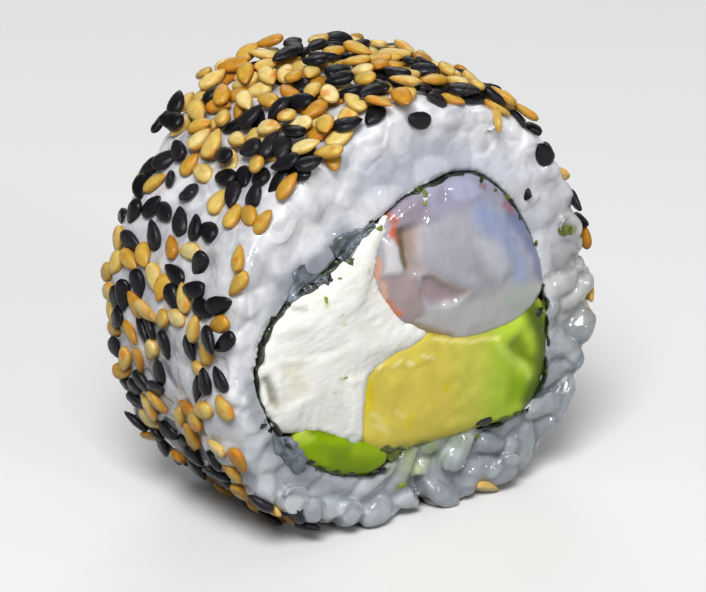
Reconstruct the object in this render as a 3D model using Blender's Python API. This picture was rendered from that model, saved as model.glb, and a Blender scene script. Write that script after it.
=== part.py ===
"""One cut piece of an uramaki roll, lying on its side.

A ring of rice surrounds an open sheet of nori, which holds a curled shrimp, cream cheese and two
slices of avocado. Every layer runs through the piece from cut to cut.

Frame: metres, +Z up. The roll's axis runs along Y and the shown cut faces -Y. The origin is under
the middle of the piece, on the surface it rests on. Section points are (across, up) from the
roll's axis, in millimetres, as seen from the shown cut.
"""

import math

import bmesh
import bpy
from mathutils import Vector, noise

MM = 0.001

# Driving dimensions, in millimetres.
LENGTH = 22.5
AXIS_HEIGHT = 21.9
GAP = 0.32
NORI_THICKNESS = 0.5
NORI_PROUD = 0.25
FRONT, BACK = -LENGTH / 2, LENGTH / 2

# How uneven the rice is: soft dents of the hand rolling, and lumps the size of its grains.
DENT_SIZE, DENT_DEPTH = 14.0, 0.8
GRAIN_SIZE, GRAIN_RELIEF = 3.1, 0.75
CUT_ROUNDING = 0.9
# The rice fills the nori's opening by this much, over this half-angle about its middle.
OPENING_FILL = 1.9

# Outlines, as the few points that a smooth closed curve needs. The roll has sagged a little, so it
# is squarer below than above. A filling's outline may cross the nori's or an earlier filling's: it
# is pressed back to leave the gap.
ROLL_CORNERS = [
    (0.0, 21.6), (-8.0, 20.3), (-15.0, 16.3), (-20.1, 10.0), (-22.4, 2.6), (-22.6, -4.6),
    (-20.8, -11.6), (-17.1, -17.1), (-12.0, -20.7), (-6.0, -22.1), (0.0, -22.3), (6.0, -22.2),
    (12.6, -20.9), (17.4, -17.6), (21.1, -12.2), (22.8, -6.0), (22.3, 0.4), (20.4, 7.6),
    (16.7, 14.2), (9.2, 19.6),
]
NORI_MIDDLE = (-1.8, -1.2)
NORI_CORNERS = [
    (-4.4, -15.9), (-11.6, -14.0), (-16.6, -8.8), (-19.2, -2.6), (-16.5, 3.7), (-10.6, 6.9),
    (-4.7, 10.7), (1.5, 13.2), (6.9, 12.9), (12.0, 7.9), (15.1, 1.0), (15.8, -8.3),
    (13.8, -12.9), (10.4, -14.0), (7.2, -14.3), (1.5, -15.4),
]
NORI_OPENING = (7.2, -4.4)  # it is open across these, along its underside
SHRIMP_CORNERS = [
    (-3.6, 10.6), (0.3, 12.6), (3.6, 13.4), (7.0, 12.6), (11.0, 9.2), (14.0, 4.6),
    (15.0, 0.6), (13.0, -2.5), (8.8, -3.5), (4.4, -3.3), (1.0, -1.9), (-2.4, 0.1),
    (-4.6, 3.2), (-5.6, 6.4),
]
CHEESE_CORNERS = [
    (-4.0, 11.2), (-7.4, 9.2), (-12.0, 7.0), (-17.0, 3.6), (-19.8, -2.2), (-17.2, -7.9),
    (-13.8, -8.7), (-9.7, -10.6), (-7.4, -12.0), (-7.2, -8.6), (-6.6, -4.8), (-3.8, -3.3),
    (-0.6, -2.7), (0.6, -1.6), (-3.6, 3.4), (-4.4, 7.0),
]
AVOCADO_CORNERS = [
    (-7.4, -7.6), (-6.6, -4.5), (-3.4, -3.5), (-0.4, -2.9), (1.6, -2.3), (4.4, -3.0),
    (9.0, -3.0), (13.8, -1.5), (16.0, -4.9), (16.4, -9.2), (13.8, -13.4), (8.5, -13.6),
    (2.5, -13.6), (-3.2, -13.4), (-6.0, -12.4), (-7.6, -10.0),
]
TIP_CORNERS = [
    (-14.6, -10.6), (-13.4, -8.6), (-9.9, -9.8), (-7.6, -11.8), (-4.7, -13.4),
    (-4.4, -14.7), (-6.8, -15.6), (-11.6, -14.4),
]

# Each filling's outline and middle, how far its cut bulges past the rice's, and how many points go
# round it. Each one is pressed back by those before it.
FILLINGS = {
    "shrimp": (SHRIMP_CORNERS, (4.6, 4.6), 1.3, 56),
    "cream_cheese": (CHEESE_CORNERS, (-10.4, -1.6), 0.7, 64),
    "avocado": (AVOCADO_CORNERS, (4.0, -8.4), 0.5, 56),
    "avocado_tip": (TIP_CORNERS, (-9.8, -12.4), 0.2, 36),
}
FINISHES = {  # base colour as linear RGB, roughness
    "rice": ((0.62, 0.63, 0.66), 0.4),
    "nori": ((0.02, 0.03, 0.02), 0.6),
    "shrimp": ((0.48, 0.44, 0.47), 0.3),
    "cream_cheese": ((0.83, 0.82, 0.76), 0.5),
    "avocado": ((0.56, 0.53, 0.12), 0.35),
    "avocado_tip": ((0.26, 0.42, 0.02), 0.3),
}

RICE_AROUND = 96
RICE_ALONG = 9
CUT_RINGS = 3
NORI_AROUND = 76
BODY_STATIONS = 3


def smooth_loop(corners, count):
    """count points, evenly spaced, on a closed Catmull-Rom curve through the corners."""
    fine = []
    steps = 12
    for i, corner in enumerate(corners):
        before, after, beyond = (Vector(corners[(i + k) % len(corners)]) for k in (-1, 1, 2))
        here = Vector(corner)
        for step in range(steps):
            t = step / steps
            fine.append(
                0.5 * (2 * here + (after - before) * t
                       + (2 * before - 5 * here + 4 * after - beyond) * t**2
                       + (3 * here - before - 3 * after + beyond) * t**3)
            )
    return even_points(fine + fine[:1], count, closed=True)


def even_points(line, count, closed=False):
    """count points evenly spaced along a polyline. A closed one doesn't repeat its first point."""
    lengths = [(b - a).length for a, b in zip(line, line[1:])]
    spacing = sum(lengths) / (count if closed else count - 1)
    points, passed, i = [], 0.0, 0
    for k in range(count):
        target = k * spacing
        while i < len(lengths) - 1 and passed + lengths[i] < target:
            passed += lengths[i]
            i += 1
        points.append(line[i].lerp(line[i + 1], min(1.0, (target - passed) / lengths[i])))
    return points


def outward(points, i, closed=True):
    """Unit normal at point i of an anticlockwise loop or of an open part of one."""
    n = len(points)
    before = points[(i - 1) % n] if closed or i > 0 else points[i]
    after = points[(i + 1) % n] if closed or i < n - 1 else points[i]
    tangent = (after - before).normalized()
    return Vector((tangent.y, -tangent.x))


def place(across, along, up):
    """A section point and a station along the roll as a point in the part's frame, in metres."""
    return Vector((across, along, max(0.0, up + AXIS_HEIGHT))) * MM


def loft(name, rings, wrapped=False):
    """One closed mesh object from rings of points. Unless wrapped, its first and last rings are capped."""
    mesh = bmesh.new()
    rows = [[mesh.verts.new(point) for point in ring] for ring in rings]
    pairs = list(zip(rows, rows[1:])) + ([(rows[-1], rows[0])] if wrapped else [])
    for one, other in pairs:
        for i in range(len(one)):
            j = (i + 1) % len(one)
            mesh.faces.new((one[i], one[j], other[j], other[i]))
    if not wrapped:
        for row in (rows[0], rows[-1]):
            middle = mesh.verts.new(sum((v.co for v in row), Vector()) / len(row))
            for i in range(len(row)):
                mesh.faces.new((row[i], row[(i + 1) % len(row)], middle))
    bmesh.ops.recalc_face_normals(mesh, faces=mesh.faces)
    data = bpy.data.meshes.new(name)
    mesh.to_mesh(data)
    mesh.free()
    data.shade_smooth()
    obj = bpy.data.objects.new(name, data)
    bpy.context.scene.collection.objects.link(obj)
    obj.data.materials.append(finish(name))
    return obj


def finish(name):
    colour, roughness = FINISHES[name]
    material = bpy.data.materials.new(name)
    material.use_nodes = True
    shader = material.node_tree.nodes["Principled BSDF"]
    shader.inputs["Base Color"].default_value = (*colour, 1.0)
    shader.inputs["Roughness"].default_value = roughness
    return material


def anticlockwise(loop):
    turn = sum(a.cross(b) for a, b in zip(loop, loop[1:] + loop[:1]))
    return loop if turn > 0 else loop[::-1]


def pressed(point, loop, clearance):
    """The point moved, if it must, until it stands this far out of the loop (or into it, if negative)."""
    i = min(range(len(loop)), key=lambda k: (loop[k] - point).length_squared)
    normal = outward(loop, i)
    depth = clearance - (point - loop[i]).dot(normal)
    moves = depth > 0 if clearance > 0 else depth < 0
    return point + normal * depth if moves else point


def filling_outlines():
    """Each filling's outline, held inside the nori and clear of the fillings before it."""
    nori_loop, _ = nori_line()
    within = -(NORI_THICKNESS / 2 + GAP)
    outlines = {}
    for name, (corners, _, _, count) in FILLINGS.items():
        outline = anticlockwise(smooth_loop(corners, 8 * count))
        for _ in range(3):
            outline = [pressed(point, nori_loop, within) for point in outline]
            for other in outlines.values():
                outline = [pressed(point, other, GAP) for point in outline]
        outlines[name] = even_points(outline + outline[:1], 4 * count, closed=True)
    return outlines


def filling(name, outline):
    """A filling as a bar from cut to cut, with bulging ends."""
    _, middle, bulge, count = FILLINGS[name]
    outline = even_points(outline + outline[:1], count, closed=True)
    middle = Vector(middle)
    scales = [k / (CUT_RINGS + 1) for k in range(1, CUT_RINGS + 1)]
    stations = [(scale, FRONT - bulge * (1 - scale**2)) for scale in scales]
    stations += [(1.0, FRONT + LENGTH * k / (BODY_STATIONS - 1)) for k in range(BODY_STATIONS)]
    stations += [(scale, BACK + bulge * (1 - scale**2)) for scale in reversed(scales)]
    rings = []
    for scale, along in stations:
        ring = [middle + (point - middle) * scale for point in outline]
        rings.append([place(point.x, along, point.y) for point in ring])
    return loft(name, rings)


def nori_line():
    """The closed loop that the nori follows, anticlockwise, and the part of it that is nori."""
    loop = anticlockwise(smooth_loop(NORI_CORNERS, 6 * NORI_AROUND))
    right, left = NORI_OPENING
    opening = [left < p.x < right and p.y < NORI_MIDDLE[1] for p in loop]
    first = next(i for i in range(len(loop)) if opening[i - 1] and not opening[i])
    turned = loop[first:] + loop[:first]
    sheet = [p for p in turned if not (left < p.x < right and p.y < NORI_MIDDLE[1])]
    return loop, even_points(sheet, NORI_AROUND)


def nori():
    """The sheet, open along its underside and a little proud of both cuts."""
    _, line = nori_line()
    half = NORI_THICKNESS / 2
    stations = [FRONT - NORI_PROUD, FRONT / 3, BACK / 3, BACK + NORI_PROUD]
    rings = []
    for i, point in enumerate(line):
        normal = outward(line, i, closed=False)
        outer, inner = point + normal * half, point - normal * half
        ring = [place(outer.x, y, outer.y) for y in stations]
        rings.append(ring + [place(inner.x, y, inner.y) for y in reversed(stations)])
    return loft("nori", rings)


def rice_radius(outline, angle, along):
    """The rice's outer radius at an angle: dented by hand, and lumpy with grains."""
    direction = Vector((math.cos(angle), math.sin(angle)))
    radius = max(outline, key=lambda p: p.normalized().dot(direction)).length
    spot = Vector((direction.x * radius, direction.y * radius, along))
    dent = noise.noise(spot / DENT_SIZE) * DENT_DEPTH
    lump = noise.noise(spot / GRAIN_SIZE) * GRAIN_RELIEF
    return radius + dent + lump


def rice_cut(across, up):
    """How far the rice stands out of a cut at this spot."""
    return noise.noise(Vector((across, up, 40.0)) / GRAIN_SIZE) * 0.4 * GRAIN_RELIEF


def rice_hole():
    """The rice's inner outline, which clears the nori and fills the nori's opening."""
    loop, _ = nori_line()
    right, left = NORI_OPENING
    clear = NORI_THICKNESS / 2 + GAP
    hole = []
    for i, point in enumerate(loop):
        within = (point.x - left) / (right - left)
        inside = point.y < NORI_MIDDLE[1] and 0 < within < 1
        fill = OPENING_FILL * min(1.0, 3 * within, 3 * (1 - within)) if inside else 0.0
        hole.append(point + outward(loop, i) * (clear - fill))
    return hole


def rice():
    """The ring of rice out to its uneven outline, flat where it rests."""
    hole = rice_hole()
    hole = even_points(hole + hole[:1], RICE_AROUND, closed=True)
    outline = smooth_loop(ROLL_CORNERS, 8 * RICE_AROUND)
    rings = []
    for inner in hole:
        angle = math.atan2(inner.y, inner.x)
        direction = Vector((math.cos(angle), math.sin(angle)))
        ring = []
        for k in range(RICE_ALONG):
            share = 2 * k / (RICE_ALONG - 1) - 1
            along = share * LENGTH / 2
            rounding = CUT_ROUNDING * abs(share) ** 8
            outer = direction * (rice_radius(outline, angle, along) - rounding)
            ring.append((outer, along))
        for side, edge in ((1, ring[-1][0]), (-1, ring[0][0])):
            cut = []
            for k in range(1, CUT_RINGS + 2):
                spot = edge.lerp(inner, k / (CUT_RINGS + 1))
                cut.append((spot, side * (LENGTH / 2 + rice_cut(*spot))))
            ring += cut if side > 0 else [(inner, 0.0)] + list(reversed(cut))
        rings.append([place(spot.x, along, spot.y) for spot, along in ring])
    return loft("rice", rings, wrapped=True)


def main():
    for obj in list(bpy.data.objects):
        bpy.data.objects.remove(obj)
    rice()
    nori()
    for name, outline in filling_outlines().items():
        filling(name, outline)


main()
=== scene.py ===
"""Looks of one cut piece of uramaki roll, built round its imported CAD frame.

Shapes are worked out in millimetres in the row frame: X across the roll, Y along its axis with the
shown cut facing -Y, and Z up from the surface that it rests on.
"""

import math

import bpy
import numpy as np
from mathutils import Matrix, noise
from mathutils.bvhtree import BVHTree
from mathutils.kdtree import KDTree


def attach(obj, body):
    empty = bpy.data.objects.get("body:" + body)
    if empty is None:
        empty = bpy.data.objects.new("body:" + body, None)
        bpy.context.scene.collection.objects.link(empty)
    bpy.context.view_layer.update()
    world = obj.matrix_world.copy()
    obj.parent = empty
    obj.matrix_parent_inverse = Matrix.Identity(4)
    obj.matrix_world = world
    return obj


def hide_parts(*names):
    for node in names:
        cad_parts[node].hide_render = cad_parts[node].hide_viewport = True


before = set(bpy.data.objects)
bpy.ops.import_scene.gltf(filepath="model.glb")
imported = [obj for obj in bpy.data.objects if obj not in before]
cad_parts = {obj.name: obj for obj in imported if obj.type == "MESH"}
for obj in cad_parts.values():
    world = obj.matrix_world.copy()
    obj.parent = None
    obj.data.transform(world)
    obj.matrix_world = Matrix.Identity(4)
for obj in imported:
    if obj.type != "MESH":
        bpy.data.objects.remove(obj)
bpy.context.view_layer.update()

MM = 0.001
SEED = 7

# The roll.
AXIS_HEIGHT = 21.9
HALF_LENGTH = 11.25
# Every spot of the wall is further than this from the axis.
WALL_RADIUS = 18.0

# Rice: grains packed side by side into the outside of a smaller core.
RICE_VOXEL = 0.23
WALL_INSET, CUT_INSET, HOLE_OUTSET = 0.8, 0.75, 0.3
# Under mashed rice the core comes up this near to the surface.
MASHED_INSET = 0.25
GRAIN_SPACING = 2.0
GRAIN_TRIES = 14000
# A grain takes the first of these that its neighbours leave room for.
GRAIN_HALF_LENGTHS = (1.6, 1.1, 0.6, 0.2)
# Points along a grain's centre line.
LINE_POINTS = 5
GRAIN_RADIUS = (1.3, 1.5)
# Grains are pressed back, so that they stand no further than this out of the CAD solid.
PROUD = 0.6
MASHED_PROUD = 0.12
# The rice is three pieces, and the middle one reaches this far each way along the axis.
MIDDLE_REACH = 6.7
# Stains of the cuts fade out this far in from them.
STAIN_DEPTH = 3.0

# Sesame.
SEED_LENGTH = (2.75, 3.3)
SEED_WIDTH = (1.8, 2.15)
SEED_THICKNESS = (0.95, 1.25)
SEED_TRIES = 8000
GOLDEN_SHARE = 0.55

FILLING_VOXEL = 0.29
NORI_VOXEL = 0.24
# Fillings swell by this much, so that they touch as pressed food does.
SWELL = 0.3

# Camera.
AZIMUTH, ELEVATION = -35.0, 21.0
DISTANCE, LENS = 350.0, 178.0
TARGET = (-0.2, 0.0, 20.2)

# In metres.
FLOOR_SIZE = 6.0


# ---------------------------------------------------------------- meshes


def cad_mesh(node):
    """A CAD node's welded points, in millimetres, and its triangles."""
    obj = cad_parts[node]
    data = obj.data
    points = np.empty(len(data.vertices) * 3)
    data.vertices.foreach_get("co", points)
    world = np.array(obj.matrix_world)
    points = (points.reshape(-1, 3) @ world[:3, :3].T + world[:3, 3]) / MM
    data.calc_loop_triangles()
    faces = np.empty(len(data.loop_triangles) * 3, np.int32)
    data.loop_triangles.foreach_get("vertices", faces)
    points, index = np.unique(np.round(points, 4), axis=0, return_inverse=True)
    return points, index.reshape(-1)[faces.reshape(-1, 3)]


def fused(points, faces, voxel):
    """Overlapping closed meshes as one skin of even quads."""
    data = bpy.data.meshes.new("fused")
    data.from_pydata(points.tolist(), [], [tuple(face) for face in faces.tolist()])
    obj = bpy.data.objects.new("fused", data)
    bpy.context.scene.collection.objects.link(obj)
    remesh = obj.modifiers.new("fused", "REMESH")
    remesh.mode = "VOXEL"
    remesh.voxel_size = voxel
    bpy.context.view_layer.update()
    evaluated = obj.evaluated_get(bpy.context.evaluated_depsgraph_get())
    mesh = evaluated.to_mesh()
    new_points = np.empty(len(mesh.vertices) * 3)
    mesh.vertices.foreach_get("co", new_points)
    new_faces = np.empty(len(mesh.polygons) * 4, np.int32)
    mesh.polygons.foreach_get("vertices", new_faces)
    evaluated.to_mesh_clear()
    bpy.data.objects.remove(obj)
    bpy.data.meshes.remove(data)
    return new_points.reshape(-1, 3), new_faces.reshape(-1, 4)


def edges_of(faces):
    """Every edge once, as pairs of points."""
    sides = [faces[:, [i, (i + 1) % faces.shape[1]]] for i in range(faces.shape[1])]
    return np.unique(np.sort(np.concatenate(sides), axis=1), axis=0)


def smoothed(values, edges, rounds, weight=0.5):
    """Values at points, each drawn towards the mean of its neighbours."""
    values = values.reshape(len(values), -1)
    ends = np.concatenate([edges[:, 0], edges[:, 1]])
    others = np.concatenate([edges[:, 1], edges[:, 0]])
    counts = np.bincount(ends, minlength=len(values))[:, None]
    weight = np.reshape(weight, (-1, 1))
    for _ in range(rounds):
        columns = [
            np.bincount(ends, weights=values[others, k], minlength=len(values))
            for k in range(values.shape[1])
        ]
        values = values + weight * (np.stack(columns, axis=1) / counts - values)
    return values


def normals_of(points, faces):
    """Unit normals at the points, weighted by area."""
    total = np.zeros_like(points)
    corners = faces.shape[1]
    across = points[faces[:, 2]] - points[faces[:, 0]]
    if corners == 4:
        normal = np.cross(across, points[faces[:, 3]] - points[faces[:, 1]])
    else:
        normal = np.cross(points[faces[:, 1]] - points[faces[:, 0]], across)
    for k in range(3):
        for i in range(corners):
            total[:, k] += np.bincount(faces[:, i], weights=normal[:, k], minlength=len(points))
    return total / np.maximum(np.linalg.norm(total, axis=1, keepdims=True), 1e-9)


def wobble(points, size, shift=0.0, stretch=(1.0, 1.0, 1.0)):
    """Smooth noise between about -1 and 1 whose features are this size, in millimetres."""
    spots = points / (np.array(stretch) * size) + shift
    return np.array([noise.noise(spot) for spot in spots.tolist()])


def smoothstep(low, high, values):
    """0 below low and 1 above high, with a soft rise between them."""
    share = np.clip((values - low) / (high - low), 0.0, 1.0)
    return share * share * (3 - 2 * share)


def piece(name, points, faces, material, node, attributes=None, normals=None):
    """A finished piece of the roll, which rides on its one body and stands for a CAD node."""
    data = bpy.data.meshes.new(name)
    data.from_pydata((points * MM).tolist(), [], [tuple(face) for face in faces.tolist()])
    for label, values in (attributes or {}).items():
        if values.ndim == 2:
            layer = data.attributes.new(label, "FLOAT_COLOR", "POINT")
            colours = np.concatenate([values, np.ones((len(values), 1))], axis=1)
            layer.data.foreach_set("color", colours.ravel())
        else:
            layer = data.attributes.new(label, "FLOAT", "POINT")
            layer.data.foreach_set("value", values)
    data.shade_smooth()
    if normals is not None:
        data.normals_split_custom_set_from_vertices(normals.tolist())
    data.materials.append(material)
    obj = bpy.data.objects.new(name, data)
    bpy.context.scene.collection.objects.link(obj)
    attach(obj, "root")
    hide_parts(node)
    return obj


# ---------------------------------------------------------------- small shapes


def ball(rings, segments):
    """Points and faces of a unit ball whose poles are on X."""
    points = [(-1.0, 0.0, 0.0)]
    for i in range(1, rings):
        turn = math.pi * i / rings
        for k in range(segments):
            angle = 2 * math.pi * k / segments
            radius = math.sin(turn)
            points.append((-math.cos(turn), radius * math.cos(angle), radius * math.sin(angle)))
    points.append((1.0, 0.0, 0.0))
    faces = []
    for k in range(segments):
        j = (k + 1) % segments
        faces.append((0, 1 + j, 1 + k))
        last = 1 + (rings - 2) * segments
        faces.append((last + k, last + j, len(points) - 1))
        for i in range(rings - 2):
            low, high = 1 + i * segments, 1 + (i + 1) * segments
            faces.append((low + k, low + j, high + j))
            faces.append((low + k, high + j, high + k))
    return np.array(points), np.array(faces)


def grain_shape(rng, half, radius):
    """A plump cooked grain along X, slightly fuller at one end."""
    points = GRAIN_BALL[0] * radius
    share = GRAIN_BALL[0][:, 0]
    points[:, 1:] *= (1 + rng.uniform(-0.12, 0.12) * share)[:, None]
    points[:, 0] += half * np.tanh(3 * share)
    points[:, 1] += rng.uniform(-0.3, 0.3) * share**2
    return points


def seed_shape(rng):
    """A flat egg: narrow at -X, round at +X, with a shallow dimple, lying on its flat side."""
    length = rng.uniform(*SEED_LENGTH)
    width = rng.uniform(*SEED_WIDTH)
    thickness = rng.uniform(*SEED_THICKNESS)
    points = SEED_BALL[0].copy()
    share = np.clip((points[:, 0] + 1) / 2, 0, 1)
    ring = np.linalg.norm(points[:, 1:], axis=1)
    outline = share**0.68 * (1 - share) ** 0.42 / 0.512
    side = points[:, 1:] / np.maximum(ring, 1e-6)[:, None]
    square = (np.abs(side[:, 0]) ** 2.3 + np.abs(side[:, 1]) ** 2.3) ** (-1 / 2.3)
    middle = (1 - np.abs(side[:, 0])) ** 2 * np.sin(math.pi * share) ** 2
    shape = np.empty_like(points)
    shape[:, 0] = (share - 0.52) * length
    shape[:, 1] = side[:, 0] * square * outline * width / 2
    shape[:, 2] = side[:, 1] * square * outline * thickness / 2 * (1 - rng.uniform(0.0, 0.4) * middle)
    shape[:, 1] += rng.uniform(-0.3, 0.3) * (share - 0.5) ** 2 * width
    shape[:, 2] += rng.uniform(-0.3, 0.3) * (share - 0.5) ** 2
    shape[ring < 1e-6, 1:] = 0.0
    return shape


def seed_marks():
    """How far along each seed point is from the tip, and how near the rim."""
    points = SEED_BALL[0]
    share = (points[:, 0] + 1) / 2
    ring = np.maximum(np.linalg.norm(points[:, 1:], axis=1), 1e-6)
    rim = np.abs(points[:, 1]) / ring
    rim[ring < 1e-5] = 1.0
    return share, rim


GRAIN_BALL = ball(8, 12)
SEED_BALL = ball(12, 14)
SCRAP_BALL = ball(12, 36)
PROBE_SIZE = np.array([SEED_LENGTH[0], SEED_WIDTH[0], SEED_THICKNESS[0]]) / 2
PROBE = ball(4, 6)[0] * PROBE_SIZE


def axes_about(normal, turn):
    """Unit axes as rows: along the surface at this turn, across it, and along the normal."""
    normal = normal / np.linalg.norm(normal)
    helper = np.array([0.0, 1.0, 0.0]) if abs(normal[1]) < 0.8 else np.array([1.0, 0.0, 0.0])
    one = np.cross(helper, normal)
    one /= np.linalg.norm(one)
    other = np.cross(normal, one)
    along = one * math.cos(turn) + other * math.sin(turn)
    return np.array([along, np.cross(normal, along), normal])


def joined(parts, faces):
    """Copies of one shape as a single mesh."""
    count = len(parts[0])
    return np.concatenate(parts), np.concatenate([faces + count * i for i in range(len(parts))])


# ---------------------------------------------------------------- rice


def scattered(points, faces, rng, tries):
    """Random spots on a mesh, evenly by area, and the normals there."""
    corners = points[faces]
    normal = np.cross(corners[:, 1] - corners[:, 0], corners[:, 2] - corners[:, 0])
    area = np.linalg.norm(normal, axis=1)
    normal /= np.maximum(area, 1e-9)[:, None]
    chosen = rng.choice(len(faces), size=tries, p=area / area.sum())
    mix = rng.dirichlet((1.0, 1.0, 1.0), size=tries)
    return (corners[chosen] * mix[:, :, None]).sum(axis=1), normal[chosen]


def outside(points, normals):
    """Which points of the rice face out of the roll, rather than into its hole."""
    radial = points[:, [0, 2]] - np.array([0.0, AXIS_HEIGHT])
    reach = np.linalg.norm(radial, axis=1)
    facing = (radial * normals[:, [0, 2]]).sum(axis=1) / np.maximum(reach, 1e-6)
    return (facing > 0.2) | (np.abs(normals[:, 1]) > 0.6)


def mashed(points):
    """1 where the rice is mashed smooth, at the upper left, and 0 where its grains stay whole."""
    lean = (0.9 * (points[:, 2] - AXIS_HEIGHT) - 0.45 * points[:, 0]) / 22
    return smoothstep(-0.85, 0.3, lean + 0.2 * wobble(points, 7.0, 15.0))


def packed_lines(rng):
    """Centre lines of grains that lie side by side in the surface, and the normals there."""
    points, faces = cad_mesh("rice")
    spots, normals = scattered(points, faces, rng, GRAIN_TRIES)
    use = outside(spots, normals)
    placed = np.empty((0, LINE_POINTS, 3))
    middle = LINE_POINTS // 2
    reach = 2 * GRAIN_HALF_LENGTHS[0] + GRAIN_SPACING
    kept = []
    for spot, normal in zip(spots[use], normals[use]):
        near = placed[np.linalg.norm(placed[:, middle] - spot, axis=1) < reach]
        if len(near) and np.linalg.norm(near - spot, axis=2).min() < GRAIN_SPACING:
            continue
        for half in GRAIN_HALF_LENGTHS:
            along = axes_about(normal, rng.uniform(0, 2 * math.pi))[0]
            line = spot + along * np.linspace(-half, half, LINE_POINTS)[:, None]
            away = np.linalg.norm(near[:, :, None] - line, axis=3)
            if not len(near) or away.min() > GRAIN_SPACING:
                placed = np.concatenate([placed, line[None]])
                kept.append(normal)
                break
    return placed, np.array(kept)


def rice_grains(rng):
    """Every grain as points, and the centre line of each."""
    lines, normals = packed_lines(rng)
    middles = lines[:, LINE_POINTS // 2]
    soft = mashed(middles)
    grains = []
    for line, middle, normal, mash in zip(lines, middles, normals, soft):
        radius = rng.uniform(*GRAIN_RADIUS)
        along = line[-1] - line[0]
        half = np.linalg.norm(along) / 2
        along = along / (2 * half)
        axes = np.array([along, np.cross(normal, along), normal])
        rise = rng.uniform(-0.15, 0.65) * (1 - mash) + rng.uniform(-0.2, 0.15) * mash
        shape = grain_shape(rng, half, radius)
        grains.append(shape @ axes + middle + normal * (rise - radius))
    return grains, lines


def rice_core():
    """The CAD rice drawn in under its grains, and out towards the nori in its hole."""
    points, faces = cad_mesh("rice")
    normals = normals_of(points, faces)
    on_cut = np.abs(normals[:, 1]) > 0.6
    inset = np.where(on_cut, CUT_INSET, WALL_INSET)
    inset = inset + (MASHED_INSET - inset) * mashed(points)
    inset = np.where(outside(points, normals), inset, -HOLE_OUTSET)
    return points - normals * inset[:, None], faces


def rice_skin(rng):
    """Grains and core as one skin, and the centre lines of its grains."""
    grains, lines = rice_grains(rng)
    core, core_faces = rice_core()
    points, faces = joined(grains, GRAIN_BALL[1])
    faces = np.concatenate([faces, core_faces + len(points)])
    points = np.concatenate([points, core])
    points, faces = fused(points, faces, RICE_VOXEL)
    edges = edges_of(faces)
    points = smoothed(points, edges, 3)
    points = smoothed(pressed(points), edges, 2)
    points = smoothed(points, edges, 14, 0.1 + 0.5 * mashed(points))
    return points, faces, edges, lines


def pressed(points):
    """Grains pushed back where they stand far out of the CAD solid, as the hand and the knife do."""
    cad_points, cad_faces = cad_mesh("rice")
    tree = BVHTree.FromPolygons(cad_points.tolist(), cad_faces.tolist())
    limit = PROUD + (MASHED_PROUD - PROUD) * mashed(points)
    result = points.copy()
    for i, point in enumerate(points.tolist()):
        near, normal, _, away = tree.find_nearest(point)
        if away > 0.02 and (points[i] - near).dot(normal) > 0:
            reach = limit[i] * math.tanh(away / limit[i]) / away
            result[i] = np.array(near) + (points[i] - near) * reach
    return result


def grain_borders(points, lines):
    """The grain that each point belongs to, and how far it is from the border with the next one."""
    steps = lines.shape[1]
    tree = KDTree(len(lines) * steps)
    for i, spot in enumerate(lines.reshape(-1, 3)):
        tree.insert(spot, i)
    tree.balance()
    near = np.array([[i // steps for _, i, _ in tree.find_n(p, 10)] for p in points.tolist()])
    start = lines[near, 0]
    along = lines[near, -1] - start
    share = ((points[:, None] - start) * along).sum(axis=2) / np.maximum((along**2).sum(axis=2), 1e-9)
    foot = start + along * np.clip(share, 0, 1)[:, :, None]
    away = np.linalg.norm(points[:, None] - foot, axis=2)
    own = near[np.arange(len(points)), away.argmin(axis=1)]
    other = np.where(near == own[:, None], np.inf, away).min(axis=1)
    return own, np.minimum(other - away.min(axis=1), 4.0) / 2


def rice_stains_and_shade(points):
    """Stains and painted shade at the cuts, fading to the plain colour of the wall between them, which has
    only painted shade low down.
    """
    wall = marked(points, RICE_COLOUR, RICE_WALL_SHADE_AREAS, [])
    cut = marked(points, RICE_COLOUR, RICE_STAIN_AND_SHADE_AREAS, RICE_LINES)
    share = smoothstep(HALF_LENGTH - STAIN_DEPTH, HALF_LENGTH - 0.6, np.abs(points[:, 1]))
    return wall + share[:, None] * (cut - wall)


def build_rice(rng):
    points, faces, edges, lines = rice_skin(rng)
    normals = normals_of(points, faces)
    own, border = grain_borders(points, lines)
    outer = outside(points, normals)
    soft = mashed(points)
    lip = smoothstep(HALF_LENGTH - 1.6, HALF_LENGTH - 0.4, np.abs(points[:, 1]))
    relief = np.where(outer, -0.18 * np.exp(-((border / 0.24) ** 2)) * (1 - 0.8 * soft), 0.28 * lip)
    flake = rng.uniform(-0.13, 0.13, len(lines))[own]
    relief += soft * outer * (flake + 0.25 * wobble(points, 3.4, 71.0))
    relief += carved(points, [], RICE_LINE_RELIEF) * outer
    points = points + normals * relief[:, None]
    points[:, 2] = np.maximum(points[:, 2], 0.03)
    points = smoothed(points, edges, 1)
    normals = normals_of(points, faces)
    tone = smoothed(rng.uniform(0, 1, len(lines))[own], edges, 3)[:, 0]
    values = {
        "tone": tone,
        "crease": smoothed(border, edges, 1)[:, 0],
        "mash": soft,
        "tint": rice_stains_and_shade(points),
    }
    material = rice_material()
    middle = points[faces].mean(axis=1)[:, 1]
    bands = (
        ("rice_front", middle < -MIDDLE_REACH),
        ("rice_middle", np.abs(middle) <= MIDDLE_REACH),
        ("rice_back", middle > MIDDLE_REACH),
    )
    for name, chosen in bands:
        used, index = np.unique(faces[chosen], return_inverse=True)
        picked = {label: value[used] for label, value in values.items()}
        piece(name, points[used], index.reshape(-1, 4), material, "rice", picked, normals[used])
    return points, faces


# ---------------------------------------------------------------- sesame


def coat(across, up):
    """How thickly seeds coat the wall at an angle about the axis, from 0 to 1."""
    angle = math.degrees(math.atan2(up, across))
    named = [(-180, 0.67), (-150, 0.67), (-128, 0.62), (-110, 0.0), (-35, 0.0), (-10, 0.3),
             (35, 0.5), (55, 0.78), (80, 0.86), (125, 0.78), (150, 0.7), (180, 0.67)]
    return float(np.interp(angle, [a for a, _ in named], [b for _, b in named]))


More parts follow.
